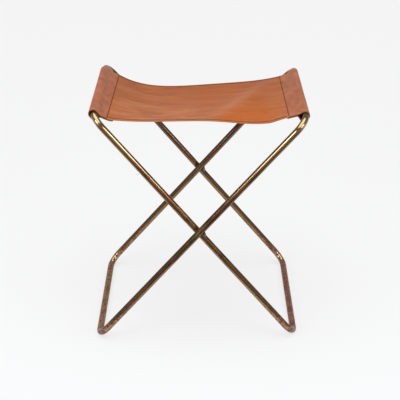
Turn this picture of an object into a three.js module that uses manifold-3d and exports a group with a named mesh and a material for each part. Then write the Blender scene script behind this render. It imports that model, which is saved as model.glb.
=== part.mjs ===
// X frame folding stool: two closed loops of bent brass tube cross at a riveted pivot on each
// side, and a leather sling hangs between their two top bars.
// Millimetres, +Z up, the bars run along Y, and the floor is at z = 0 under the middle.

import * as THREE from 'three';
import { mergeVertices } from 'three/addons/utils/BufferGeometryUtils.js';
import Module from 'manifold-3d';

const wasm = await Module();
wasm.setup();

// Stance: where the four bars stand
const TOP_SPAN = 383;
const FOOT_SPAN = 376;
const BAR_RISE = 440;
const LOOP_WIDTH = 336;

// Tube of both loops
const TUBE_DIAMETER = 12.7;
const TUBE_WALL = 1.5;
const BEND_RADIUS = 28;
const END_GAP = 0.3;
const SEAT_GAP = 0.3;

// Spigot that joins the two ends of each bent tube, hidden inside the top bar
const JOINER_LENGTH = 60;
const JOINER_WALL = 1.6;

// Pivot rivets and the washers between the loops
const RIVET_DIAMETER = 4.8;
const RIVET_HEAD_DIAMETER = 7;
const RIVET_HEAD_RISE = 1.2;
const HOLE_CLEARANCE = 0.3;
const SPACER_THICKNESS = 1;
const SPACER_DIAMETER = 12.4;

// Stop lugs, which hold the crossed loops at their open angle
const LUG_WIDTH = 4.8;
const LUG_CHAMFER = 0.7;
const LUG_INSET = 3;
const LUG_REACH = 4;

// Leather sling
const LEATHER_THICKNESS = 2;
const SLING_FRONT_INSET = 16;
const SLING_REAR_INSET = 24;
const SEAM_REACH = 28.5;
const LEFT_FLAP_OVERLAP = 6.5;
const RIGHT_FLAP_OVERLAP = 3.5;
const TIP_REACH = 12;
const SLING_SPLIT_GAP = 0.3;

// Depth of the sheet's middle layer under the top bars' centres, at the tips of the sleeves,
// where the two layers close beside the bar, and at the two seams
const TIP_DROP = 3;
const TIP_DROP_FRONT_RIGHT = -2.5;
const LEFT_SEAM_DROP_REAR = 9.4;
const LEFT_SEAM_DROP_FRONT = 10.5;
const RIGHT_SEAM_DROP_REAR = 9.5;
const RIGHT_SEAM_DROP_FRONT = 2.1;

// Hang of the sheet below the line between its seams. Skew moves its low to the left, and
// steepness makes it drop sooner from both seams.
const REAR_HANG = 19.8;
const FRONT_HANG = 3.8;
const MIDDLE_EXTRA_HANG = 6;
const HANG_SKEW_SHARE = 0.64;
const HANG_STEEPNESS_SHARE = 0.8;
const SEAM_FADE_SHARE = 0.09;

// Soft belly at the front right, and the long fold that runs from it to the rear right
const BELLY_HANG = 9.7;
const BELLY_X = 111;
const BELLY_HALF_WIDTH = 72;
const BELLY_HALF_DEPTH = 70;
const FOLD_RISE = 5;
const FOLD_START_X = 20;
const FOLD_END_X = 150;
const FOLD_HALF_WIDTH = 24;

// Facets
const TUBE_SIDES = 20;
const BEND_STEPS = 7;
const HOLE_SIDES = 16;
const HEAD_STEPS = 4;
const SLING_ROWS = 12;
const SEAT_STEPS = 14;
const LOWER_ARC_STEPS = 5;
const UPPER_ARC_STEPS = 10;
const FLAP_STEPS = 5;
const SLEEVE_STEPS = 3;

const tubeRadius = TUBE_DIAMETER / 2;
const boreRadius = tubeRadius - TUBE_WALL;
const legRun = (TOP_SPAN + FOOT_SPAN) / 2;
const legLength = Math.hypot(legRun, BAR_RISE);
const legAngle = Math.atan2(BAR_RISE, legRun);
const loopOffset = TUBE_DIAMETER + SPACER_THICKNESS + 2 * SEAT_GAP;
const topHeight = tubeRadius + BAR_RISE;
const pivotDistance = (legLength * TOP_SPAN) / (TOP_SPAN + FOOT_SPAN);
const pivotHeight = topHeight - pivotDistance * Math.sin(legAngle);
const cornerRadiusOfFacets = (radius, sides) => radius / Math.cos(Math.PI / sides);

const BRASS = { color: 0x7d5f36, roughness: 0.38, metalness: 0.9 };
const STEEL = { color: 0x6b5a45, roughness: 0.5, metalness: 0.9 };
const LEATHER = { color: 0xb66a45, roughness: 0.62, metalness: 0 };

const stool = new THREE.Group();

function addPiece(parent, name, geometry, finish) {
  const piece = new THREE.Mesh(geometry, new THREE.MeshStandardMaterial(finish));
  piece.name = name;
  parent.add(piece);
  return piece;
}

// A closed geometry as a solid that can be cut.
function solidOf(geometry) {
  const bare = geometry.clone();
  bare.deleteAttribute('normal');
  bare.deleteAttribute('uv');
  const merged = mergeVertices(bare);
  return new wasm.Manifold(
    new wasm.Mesh({
      numProp: 3,
      vertProperties: new Float32Array(merged.attributes.position.array),
      triVerts: new Uint32Array(merged.index.array),
    }),
  );
}

function geometryOf(solid) {
  const mesh = solid.getMesh();
  const geometry = new THREE.BufferGeometry();
  geometry.setAttribute('position', new THREE.BufferAttribute(mesh.vertProperties, 3));
  geometry.setIndex(new THREE.BufferAttribute(mesh.triVerts, 1));
  geometry.computeVertexNormals();
  return geometry;
}

// A many-sided ring whose flats lie at the given radii, with one flat facing the given angle.
function ringShape(outerRadius, innerRadius, sides, flatAngle) {
  const corner = (radius, k) => {
    const angle = flatAngle + ((k + 0.5) * 2 * Math.PI) / sides;
    const reach = cornerRadiusOfFacets(radius, sides);
    return new THREE.Vector2(reach * Math.cos(angle), reach * Math.sin(angle));
  };
  const corners = (radius) => Array.from({ length: sides }, (_, k) => corner(radius, k));
  const shape = new THREE.Shape(corners(outerRadius));
  if (innerRadius > 0) {
    shape.holes.push(new THREE.Path(corners(innerRadius)));
  }
  return shape;
}

// A path that takes one step along each straight run and a few along each bend. Each station
// holds a point and the direction of travel there.
class BentTubePath extends THREE.Curve {
  constructor(stations) {
    super();
    this.stations = stations;
  }

  stationAt(u) {
    return this.stations[Math.round(u * (this.stations.length - 1))];
  }

  getPoint(u, target = new THREE.Vector3()) {
    return target.copy(this.stationAt(u).point);
  }

  getPointAt(u, target) {
    return this.getPoint(u, target);
  }

  getTangentAt(u, target = new THREE.Vector3()) {
    return target.copy(this.stationAt(u).heading);
  }
}

// One loop of tube in its own plane: x runs down the legs from the top bar, y along the bars.
// The tube starts and ends in the middle of the top bar.
function loopStations() {
  const halfWidth = LOOP_WIDTH / 2;
  const corners = [
    [0, halfWidth],
    [legLength, halfWidth],
    [legLength, -halfWidth],
    [0, -halfWidth],
  ];
  const headings = [
    [0, 1],
    [1, 0],
    [0, -1],
    [-1, 0],
    [0, 1],
  ].map(([x, y]) => new THREE.Vector3(x, y, 0));
  const stations = [{ point: new THREE.Vector3(0, END_GAP / 2, 0), heading: headings[0] }];
  corners.forEach(([x, y], k) => {
    const before = headings[k];
    const after = headings[k + 1];
    const centre = new THREE.Vector3(x, y, 0)
      .addScaledVector(before, -BEND_RADIUS)
      .addScaledVector(after, BEND_RADIUS);
    for (let step = 0; step <= BEND_STEPS; step += 1) {
      const turn = (step / BEND_STEPS) * (Math.PI / 2);
      const point = centre
        .clone()
        .addScaledVector(after, -BEND_RADIUS * Math.cos(turn))
        .addScaledVector(before, BEND_RADIUS * Math.sin(turn));
      const heading = before
        .clone()
        .multiplyScalar(Math.cos(turn))
        .addScaledVector(after, Math.sin(turn));
      stations.push({ point, heading });
    }
  });
  stations.push({ point: new THREE.Vector3(0, -END_GAP / 2, 0), heading: headings[4] });
  return stations;
}

// A round bar along y, centred on its length.
function barAlongY(radius, length, sides) {
  return new THREE.CylinderGeometry(
    cornerRadiusOfFacets(radius, sides),
    cornerRadiusOfFacets(radius, sides),
    length,
    sides,
  );
}

// Tube of one loop, drilled through both legs for the pivot rivets. flatAngle turns the facets
// of the tube so that one of them lies flat on the floor under the foot bar.
function loopTube(flatAngle) {
  const stations = loopStations();
  const tube = new THREE.ExtrudeGeometry(ringShape(tubeRadius, boreRadius, TUBE_SIDES, flatAngle), {
    steps: stations.length - 1,
    extrudePath: new BentTubePath(stations),
  });
  const drillLength = LOOP_WIDTH + 2 * TUBE_DIAMETER;
  const drill = barAlongY(RIVET_DIAMETER / 2 + HOLE_CLEARANCE, drillLength, HOLE_SIDES);
  drill.translate(pivotDistance, 0, 0);
  return geometryOf(solidOf(tube).subtract(solidOf(drill)));
}

// Short tube inside the top bar that joins the two ends of the bent tube.
function joiner(flatAngle) {
  const outerRadius = boreRadius - SEAT_GAP;
  const shape = ringShape(outerRadius, outerRadius - JOINER_WALL, TUBE_SIDES, flatAngle);
  const stations = [-1, 1].map((side) => ({
    point: new THREE.Vector3(0, (side * JOINER_LENGTH) / 2, 0),
    heading: new THREE.Vector3(0, 1, 0),
  }));
  return new THREE.ExtrudeGeometry(shape, {
    steps: 1,
    extrudePath: new BentTubePath(stations),
  });
}

// Each loop leans across the stool. Loop a runs from top left to bottom right, and loop b, in
// front of it at both crossings, from top right to bottom left.
function addLoop(letter, side, flatAngle, turn) {
  const loop = new THREE.Group();
  loop.position.set((side * TOP_SPAN) / 2, (-side * loopOffset) / 2, topHeight);
  loop.rotation.y = turn;
  stool.add(loop);
  addPiece(loop, `frame_${letter}_tube`, loopTube(flatAngle), BRASS);
  addPiece(loop, `frame_${letter}_joiner`, joiner(flatAngle), STEEL);
}

addLoop('a', -1, legAngle, legAngle);
addLoop('b', 1, Math.PI - legAngle, Math.PI - legAngle);

// Solid rivet through both tubes at one crossing, with a low domed head at each end.
function pivotRivet() {
  const headFoot = loopOffset / 2 + tubeRadius + SEAT_GAP;
  const headRadius = RIVET_HEAD_DIAMETER / 2;
  const domeRadius = (headRadius ** 2 + RIVET_HEAD_RISE ** 2) / (2 * RIVET_HEAD_RISE);
  const domeSpread = Math.asin(headRadius / domeRadius);
  const dome = (end) =>
    Array.from({ length: HEAD_STEPS + 1 }, (_, k) => {
      const angle = (k / HEAD_STEPS) * domeSpread;
      const rise = RIVET_HEAD_RISE - domeRadius * (1 - Math.cos(angle));
      return new THREE.Vector2(domeRadius * Math.sin(angle), end * (headFoot + rise));
    });
  const profile = [
    ...dome(-1),
    new THREE.Vector2(RIVET_DIAMETER / 2, -headFoot),
    new THREE.Vector2(RIVET_DIAMETER / 2, headFoot),
    ...dome(1).reverse(),
  ];
  profile[0].x = 0;
  profile[profile.length - 1].x = 0;
  return new THREE.LatheGeometry(profile, HOLE_SIDES);
}

// Flat washer that keeps the two tubes apart at a crossing, lying across the rivet.
function spacerWasher() {
  const bore = RIVET_DIAMETER / 2 + HOLE_CLEARANCE;
  const geometry = new THREE.ExtrudeGeometry(
    ringShape(SPACER_DIAMETER / 2, bore, TUBE_SIDES, 0),
    { depth: SPACER_THICKNESS, bevelEnabled: false },
  );
  geometry.translate(0, 0, -SPACER_THICKNESS / 2);
  geometry.rotateX(Math.PI / 2);
  return geometry;
}

const facetReach = cornerRadiusOfFacets(tubeRadius, TUBE_SIDES);

// Small wedge welded to the side of loop a, filling the notch at the right of the crossing. It
// reaches forward into the plane of loop b, whose upper arm rests on it when the stool is open.
// Its section is the notch's triangle with the corners cut off, and its origin is the pivot.
function stopLug() {
  const tip = (facetReach + SEAT_GAP) / Math.sin(legAngle);
  const side = tip + LUG_WIDTH;
  const halfHeight = (x) => (x - tip) * Math.tan(legAngle);
  const upper = [
    [tip + LUG_CHAMFER, halfHeight(tip + LUG_CHAMFER)],
    [side - LUG_CHAMFER, halfHeight(side - LUG_CHAMFER)],
    [side, halfHeight(side - LUG_CHAMFER)],
  ];
  const lower = upper.map(([x, z]) => [x, -z]).reverse();
  const shape = new THREE.Shape([...upper, ...lower].map(([x, z]) => new THREE.Vector2(x, z)));
  const depth = LUG_INSET + loopOffset + LUG_REACH;
  const geometry = new THREE.ExtrudeGeometry(shape, { depth, bevelEnabled: false });
  geometry.rotateX(Math.PI / 2);
  geometry.translate(0, loopOffset / 2 + LUG_INSET, 0);
  return geometry;
}

for (const [place, y] of [
  ['front', -LOOP_WIDTH / 2],
  ['rear', LOOP_WIDTH / 2],
]) {
  addPiece(stool, `${place}_pivot_rivet`, pivotRivet(), STEEL).position.set(0, y, pivotHeight);
  addPiece(stool, `${place}_spacer_washer`, spacerWasher(), STEEL).position.set(0, y, pivotHeight);
  addPiece(stool, `${place}_stop_lug`, stopLug(), STEEL).position.set(0, y, pivotHeight);
}

// Leather sling. Along Y it keeps one width. Seen from the front it is one ribbon: it starts at
// the free end of the flap under one seam, goes round the top bar, comes back over it to the
// seam, and crosses to the other side. It is modelled as two halves, cut at the fold in the
// middle of the seat, so that it can fold as the loops close.

const seamX = TOP_SPAN / 2 - SEAM_REACH;
const nearLegs = (LOOP_WIDTH - loopOffset) / 2;
const slingFront = -nearLegs + SLING_FRONT_INSET;
const slingRear = nearLegs - SLING_REAR_INSET;

// The front of the left sleeve reaches over the start of the tube's bend, which hangs lower in
// the sleeve than the straight bar does. The sleeve is slack by as much as the tube drops there.
const overBend = Math.max(0, BEND_RADIUS - SLING_FRONT_INSET);
const innerBendRadius = BEND_RADIUS - facetReach;
const sleeveSlack = innerBendRadius - Math.sqrt(innerBendRadius ** 2 - overBend ** 2);

const mix = (a, b, share) => a + (b - a) * share;

// Skewed hanging curve: 0 at both seams and 1 in the middle between them.
function hangShare(across) {
  const leftward = 1 - 2 * across;
  const shape = 1 + HANG_SKEW_SHARE * leftward + HANG_STEEPNESS_SHARE * leftward ** 2;
  return 4 * across * (1 - across) * shape;
}

// Height of the sheet's middle layer over the top bars' centres, between the seams. forward
// is 0 at the rear edge and 1 at the front edge. The belly and the fold fade out at the seams.
function seatHeight(x, forward) {
  const across = THREE.MathUtils.clamp((x + seamX) / (2 * seamX), 0, 1);
  const left = mix(LEFT_SEAM_DROP_REAR, LEFT_SEAM_DROP_FRONT, forward);
  const right = mix(RIGHT_SEAM_DROP_REAR, RIGHT_SEAM_DROP_FRONT, forward);
  const middle = 4 * forward * (1 - forward);
  const hang = mix(REAR_HANG, FRONT_HANG, forward) + MIDDLE_EXTRA_HANG * middle;
  const behindFront = (1 - forward) * (slingRear - slingFront);
  const seamFade = Math.min(1, (across * (1 - across)) / SEAM_FADE_SHARE);
  const belly = Math.exp(
    -(((x - BELLY_X) / BELLY_HALF_WIDTH) ** 2) - (behindFront / BELLY_HALF_DEPTH) ** 2,
  );
  const foldX = mix(FOLD_END_X, FOLD_START_X, forward);
  const fold = Math.exp(-(((x - foldX) / FOLD_HALF_WIDTH) ** 2)) * middle;
  return (
    -mix(left, right, across) -
    hang * hangShare(across) -
    BELLY_HANG * belly * seamFade +
    FOLD_RISE * fold * seamFade
  );
}

// Stations of the ribbon's middle layer at one place along Y, from the flap's end to the middle
// of the seat, as points seen from the front. inward is +1 on the left side and -1 on the right.
function ribbonStations(inward, forward) {
  const barX = (-inward * TOP_SPAN) / 2;
  const layerRadius = facetReach + SEAT_GAP + LEATHER_THICKNESS / 2;
  const layerStep = LEATHER_THICKNESS + SEAT_GAP;
  const world = (reach, rise) => new THREE.Vector2(barX + inward * reach, rise);
  const seat = (reach) => new THREE.Vector2(reach, seatHeight(barX + inward * reach, forward));

  const tipDrop = inward > 0 ? TIP_DROP : mix(TIP_DROP, TIP_DROP_FRONT_RIGHT, forward);
  const tip = new THREE.Vector2(TIP_REACH, -tipDrop);
  const seam = seat(SEAM_REACH);
  const sheet = (reach) =>
    reach > SEAM_REACH
      ? seat(reach)
      : tip.clone().lerp(seam, (reach - TIP_REACH) / (SEAM_REACH - TIP_REACH));

  // The flap lies under the sheet from its free end back to the tip of the sleeve.
  const flapEnd = SEAM_REACH + (inward > 0 ? LEFT_FLAP_OVERLAP : RIGHT_FLAP_OVERLAP);
  const flap = [];
  for (let k = 0; k <= FLAP_STEPS; k += 1) {
    const reach = mix(flapEnd, TIP_REACH, k / FLAP_STEPS);
    const above = sheet(reach);
    const ahead = sheet(reach + LEATHER_THICKNESS).sub(above).normalize();
    flap.push(new THREE.Vector2(above.x + ahead.y * layerStep, above.y - ahead.x * layerStep));
  }

  // It goes round the bar, slack below it, and leaves it towards the tip.
  const onCircle = (centre, angle) =>
    new THREE.Vector2(
      centre.x + layerRadius * Math.cos(angle),
      centre.y + layerRadius * Math.sin(angle),
    );
  const bar = new THREE.Vector2(0, 0);
  const slackBar = new THREE.Vector2(Math.cos(legAngle), -Math.sin(legAngle)).multiplyScalar(
    sleeveSlack,
  );
  const under = flap[FLAP_STEPS].clone().sub(slackBar);
  const arrive = Math.atan2(under.y, under.x) - Math.acos(layerRadius / under.length());
  const outermost = -legAngle - Math.PI / 2;
  const leave = Math.atan2(tip.y, tip.x) + Math.acos(layerRadius / tip.length()) - 2 * Math.PI;
  const round = [];
  for (let k = 0; k <= LOWER_ARC_STEPS; k += 1) {
    round.push(onCircle(slackBar, mix(arrive, outermost, k / LOWER_ARC_STEPS)));
  }
  for (let k = 0; k <= UPPER_ARC_STEPS; k += 1) {
    round.push(onCircle(bar, mix(outermost, leave, k / UPPER_ARC_STEPS)));
  }

  const over = [];
  for (let k = 0; k <= SLEEVE_STEPS; k += 1) {
    over.push(sheet(mix(TIP_REACH, SEAM_REACH, k / SLEEVE_STEPS)));
  }
  const reachOfMiddle = TOP_SPAN / 2 - SLING_SPLIT_GAP / 2;
  for (let k = 1; k <= SEAT_STEPS; k += 1) {
    over.push(seat(mix(SEAM_REACH, reachOfMiddle, k / SEAT_STEPS)));
  }
  return [...flap, ...round, ...over].map((p) => world(p.x, p.y));
}

// One half of the sling: a grid of the ribbon's stations along Y, thickened by half the
// leather each way.
function slingHalf(inward) {
  const rows = [];
  for (let row = 0; row <= SLING_ROWS; row += 1) {
    const forward = row / SLING_ROWS;
    const y = mix(slingRear, slingFront, forward);
    const path = ribbonStations(inward, forward);
    const last = path.length - 1;
    rows.push(
      path.map((point, k) => {
        const travel = path[Math.min(k + 1, last)].clone().sub(path[Math.max(k - 1, 0)]);
        travel.normalize();
        const out = new THREE.Vector2(inward * travel.y, -inward * travel.x);
        if (k === last) {
          out.set(0, -1);
        }
        const half = LEATHER_THICKNESS / 2;
        return {
          outer: [point.x + out.x * half, y, topHeight + point.y + out.y * half],
          inner: [point.x - out.x * half, y, topHeight + point.y - out.y * half],
        };
      }),
    );
  }

  const columns = rows[0].length;
  const positions = rows.flatMap((line) => line.flatMap((p) => [...p.outer, ...p.inner]));
  const outer = (row, k) => 2 * (row * columns + k);
  const inner = (row, k) => outer(row, k) + 1;
  const faces = [];
  const quad = (a, b, c, d) => {
    if (inward < 0) {
      faces.push(a, b, c, a, c, d);
    } else {
      faces.push(a, c, b, a, d, c);
    }
  };
  for (let row = 0; row < SLING_ROWS; row += 1) {
    for (let k = 0; k < columns - 1; k += 1) {
      quad(outer(row, k), outer(row + 1, k), outer(row + 1, k + 1), outer(row, k + 1));
      quad(inner(row, k), inner(row, k + 1), inner(row + 1, k + 1), inner(row + 1, k));
    }
    const last = columns - 1;
    quad(outer(row, 0), inner(row, 0), inner(row + 1, 0), outer(row + 1, 0));
    quad(outer(row, last), outer(row + 1, last), inner(row + 1, last), inner(row, last));
  }
  for (let k = 0; k < columns - 1; k += 1) {
    const front = SLING_ROWS;
    quad(outer(0, k), outer(0, k + 1), inner(0, k + 1), inner(0, k));
    quad(outer(front, k), inner(front, k), inner(front, k + 1), outer(front, k + 1));
  }
  const geometry = new THREE.BufferGeometry();
  geometry.setAttribute('position', new THREE.Float32BufferAttribute(positions, 3));
  geometry.setIndex(faces);
  geometry.computeVertexNormals();
  return geometry;
}

addPiece(stool, 'sling_left_half', slingHalf(1), LEATHER);
addPiece(stool, 'sling_right_half', slingHalf(-1), LEATHER);

export default stool;
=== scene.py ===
from functools import partial

import bmesh
import bpy
import numpy as np
from mathutils import Matrix


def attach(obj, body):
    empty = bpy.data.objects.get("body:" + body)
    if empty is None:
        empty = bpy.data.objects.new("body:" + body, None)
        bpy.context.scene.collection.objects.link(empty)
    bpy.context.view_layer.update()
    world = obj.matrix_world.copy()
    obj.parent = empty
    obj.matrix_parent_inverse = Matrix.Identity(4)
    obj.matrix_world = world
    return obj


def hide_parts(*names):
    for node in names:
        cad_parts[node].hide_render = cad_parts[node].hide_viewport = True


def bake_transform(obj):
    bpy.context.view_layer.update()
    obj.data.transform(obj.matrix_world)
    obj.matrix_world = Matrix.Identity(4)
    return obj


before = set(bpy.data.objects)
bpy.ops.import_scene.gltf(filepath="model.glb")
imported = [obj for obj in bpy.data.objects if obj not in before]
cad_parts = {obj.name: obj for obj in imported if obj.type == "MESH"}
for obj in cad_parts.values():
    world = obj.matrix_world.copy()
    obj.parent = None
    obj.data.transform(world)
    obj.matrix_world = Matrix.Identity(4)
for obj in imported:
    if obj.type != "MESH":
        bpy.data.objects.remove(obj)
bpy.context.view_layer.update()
scene = bpy.context.scene

# The two loops are lengths of round brass tube, 12.7 mm across with a 1.5 mm wall, each bent
# round four corners, with its ends met on a spigot inside the top bar. Loop a runs from top left
# to bottom right. Loop b runs from top right to bottom left, and lies in front at both crossings.

TUBE_RADIUS = 0.00635
TUBE_WALL = 0.0015
BEND_RADIUS = 0.028
LOOP_WIDTH = 0.336
TOP_SPAN = 0.383
FOOT_SPAN = 0.376
BAR_RISE = 0.440
LOOP_OFFSET = 0.0143
END_GAP = 0.0003

BEND_STEPS = 14
LEG_STEPS = 20
BAR_STEPS = 8
TUBE_SIDES = 40

leg_run = (TOP_SPAN + FOOT_SPAN) / 2
leg_length = np.hypot(leg_run, BAR_RISE)
leg_angle = np.arctan2(BAR_RISE, leg_run)
top_height = TUBE_RADIUS + BAR_RISE
pivot_height = top_height - BAR_RISE * TOP_SPAN / (TOP_SPAN + FOOT_SPAN)


def loop_centre_line():
    """Centre line of a loop in its own plane, as points and headings. The first number runs down
    the legs from the top bar, the second along the bars. A straight run is a line; a corner is a
    quarter circle, centre - bend * cos(turn) * after + bend * sin(turn) * before."""
    half = LOOP_WIDTH / 2
    corners = np.array([[0, half], [leg_length, half], [leg_length, -half], [0, -half]])
    headings = np.array([[0, 1], [1, 0], [0, -1], [-1, 0], [0, 1]], float)
    before, after = headings[:-1, None], headings[1:, None]
    turn = np.linspace(0, np.pi / 2, BEND_STEPS + 1)[None, :, None]
    centres = corners[:, None] + BEND_RADIUS * (after - before)
    arcs = centres - BEND_RADIUS * np.cos(turn) * after + BEND_RADIUS * np.sin(turn) * before
    arc_headings = np.cos(turn) * before + np.sin(turn) * after
    run_ends = [np.array([0, END_GAP / 2]), *arcs[:, -1], np.array([0, -END_GAP / 2])]
    points, turned = [run_ends[0][None]], [headings[:1]]
    for k, steps in enumerate([BAR_STEPS // 2, LEG_STEPS, BAR_STEPS, LEG_STEPS]):
        share = np.linspace(0, 1, steps + 1)[1:-1, None]
        points += [run_ends[k] + (arcs[k, 0] - run_ends[k]) * share, arcs[k]]
        turned += [np.repeat(headings[k : k + 1], steps - 1, axis=0), arc_headings[k]]
    share = np.linspace(0, 1, BAR_STEPS // 2 + 1)[1:, None]
    points.append(run_ends[4] + (run_ends[5] - run_ends[4]) * share)
    turned.append(np.repeat(headings[4:], len(share), axis=0))
    return np.concatenate(points), np.concatenate(turned)


def distance_along(line):
    """How far each point of a line lies from its first one, measured along the line."""
    return np.concatenate([[0], np.cumsum(np.linalg.norm(np.diff(line, axis=0), axis=1))])


def loop_tube(side):
    """Wall of one loop's tube, and where each of its points lies on the straight tube it was bent
    from. A point is centre line + radius * (cos(a) * side way + sin(a) * the plane's normal),
    out along the outer wall and back along the inner one, so the whole wall is one closed skin.
    Also gives how bent the tube is at each point: twice the product of the heading's parts."""
    line, heading = loop_centre_line()
    down = np.array([-side * np.cos(leg_angle), 0, -np.sin(leg_angle)])
    along = np.array([0, 1, 0])
    normal = np.cross(down, along)
    start = np.array([side * TOP_SPAN / 2, -side * LOOP_OFFSET / 2, top_height])
    centre = start + line[:, :1] * down + line[:, 1:] * along
    sideways = -heading[:, 1:] * down + heading[:, :1] * along
    distance = distance_along(line)
    angle = np.linspace(0, 2 * np.pi, TUBE_SIDES, endpoint=False)[None, :, None]
    bent = 2 * np.abs(heading[:, :1] * heading[:, 1:]) * np.ones(TUBE_SIDES)
    there, back = slice(None), slice(None, None, -1)
    skins, runs, bends = [], [], []
    for radius, order in ((TUBE_RADIUS, there), (TUBE_RADIUS - TUBE_WALL, back)):
        across = radius * np.cos(angle)
        up = radius * np.sin(angle)
        skin = centre[:, None] + across * sideways[:, None] + up * normal
        run = np.broadcast_arrays(distance[:, None, None], across, up)
        skins.append(skin[order])
        runs.append(np.concatenate(run, axis=2)[order])
        bends.append(bent[order])
    return np.concatenate(skins), np.concatenate(runs), np.concatenate(bends)


def grid_faces(rows, columns, close_rows=False, close_columns=True):
    """Faces of a grid of points, each between a point and its next neighbours both ways. A closed
    direction also joins its last line of points to its first."""
    index = np.arange(rows * columns).reshape(rows, columns)
    if close_rows:
        index = np.vstack([index, index[:1]])
    if close_columns:
        index = np.hstack([index, index[:, :1]])
    corners = [index[:-1, :-1], index[1:, :-1], index[1:, 1:], index[:-1, 1:]]
    return np.stack(corners, axis=-1).reshape(-1, 4)


def new_piece(name, points, faces, material):
    """An object at the origin with this mesh and material."""
    mesh = bpy.data.meshes.new(name)
    mesh.from_pydata(points, [], faces)
    mesh.materials.append(material)
    piece = bpy.data.objects.new(name, mesh)
    scene.collection.objects.link(piece)
    return piece


def closed_piece(name, points, faces, material):
    """A smooth piece with its faces outwards. The volume that closed faces hold is the sum of
    a . (b x c) / 6 over their triangles, and where it comes out negative they are turned round."""
    points = points.reshape(-1, 3)
    a, b, c, d = points[faces].transpose(1, 0, 2)
    volume = np.einsum("ij,ij", a, np.cross(b, c)) + np.einsum("ij,ij", a, np.cross(c, d))
    if volume < 0:
        faces = faces[:, ::-1]
    piece = new_piece(name, points.tolist(), faces.tolist(), material)
    piece.data.shade_smooth()
    return piece


def give_points(piece, name, values, kind="FLOAT", field="value"):
    """Gives each point of a piece a number, or a vector, that its material reads by this name."""
    attribute = piece.data.attributes.new(name, kind, "POINT")
    attribute.data.foreach_set(field, np.ascontiguousarray(values, np.float32).ravel())


def colour(code):
    """Linear red, green, blue and alpha of an sRGB hex code such as #A07C48."""
    srgb = np.array([int(code[k : k + 2], 16) for k in (1, 3, 5)]) / 255
    linear = np.where(srgb <= 0.04045, srgb / 12.92, ((srgb + 0.055) / 1.055) ** 2.4)
    return (*linear.tolist(), 1.0)


def per_metre(*sizes):
    """Scale of a pattern whose patches are so many millimetres across: how many go into a metre.
    Two or three sizes give a scale for each axis, which is 1 where none is given."""
    scales = [1000 / size for size in sizes]
    return scales[0] if len(scales) == 1 else (*scales, 1.0)[:3]


def add_node(tree, kind, settings, *values, **named):
    """A node of this kind with its settings. Its inputs are given in their order, or by their
    name in lower case: a number, a colour code, or another node or its output to link from."""
    node = tree.nodes.new("ShaderNode" + kind)
    for key, value in settings.items():
        setattr(node, key, value)
    live = [socket for socket in node.inputs if socket.enabled]
    by_name = {socket.name.lower().replace(" ", "_"): socket for socket in live}
    given = [*zip(live, values), *((by_name[key], value) for key, value in named.items())]
    for socket, value in given:
        if isinstance(value, bpy.types.Node):
            value = next(output for output in value.outputs if output.enabled)
        if isinstance(value, bpy.types.NodeSocket):
            tree.links.new(value, socket)
        else:
            socket.default_value = colour(value) if isinstance(value, str) else value
    return node


COLOURS = {"data_type": "RGBA"}
SMOOTH = {"interpolation_type": "SMOOTHSTEP"}
TIMES = {"operation": "MULTIPLY"}
PLUS = {"operation": "ADD"}
MINUS = {"operation": "SUBTRACT"}


def new_material(name):
    """An empty node material, and the function that adds a node to it."""
    material = bpy.data.materials.new(name)
    material.use_nodes = True
    material.node_tree.nodes.clear()
    return material, partial(add_node, material.node_tree)


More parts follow.
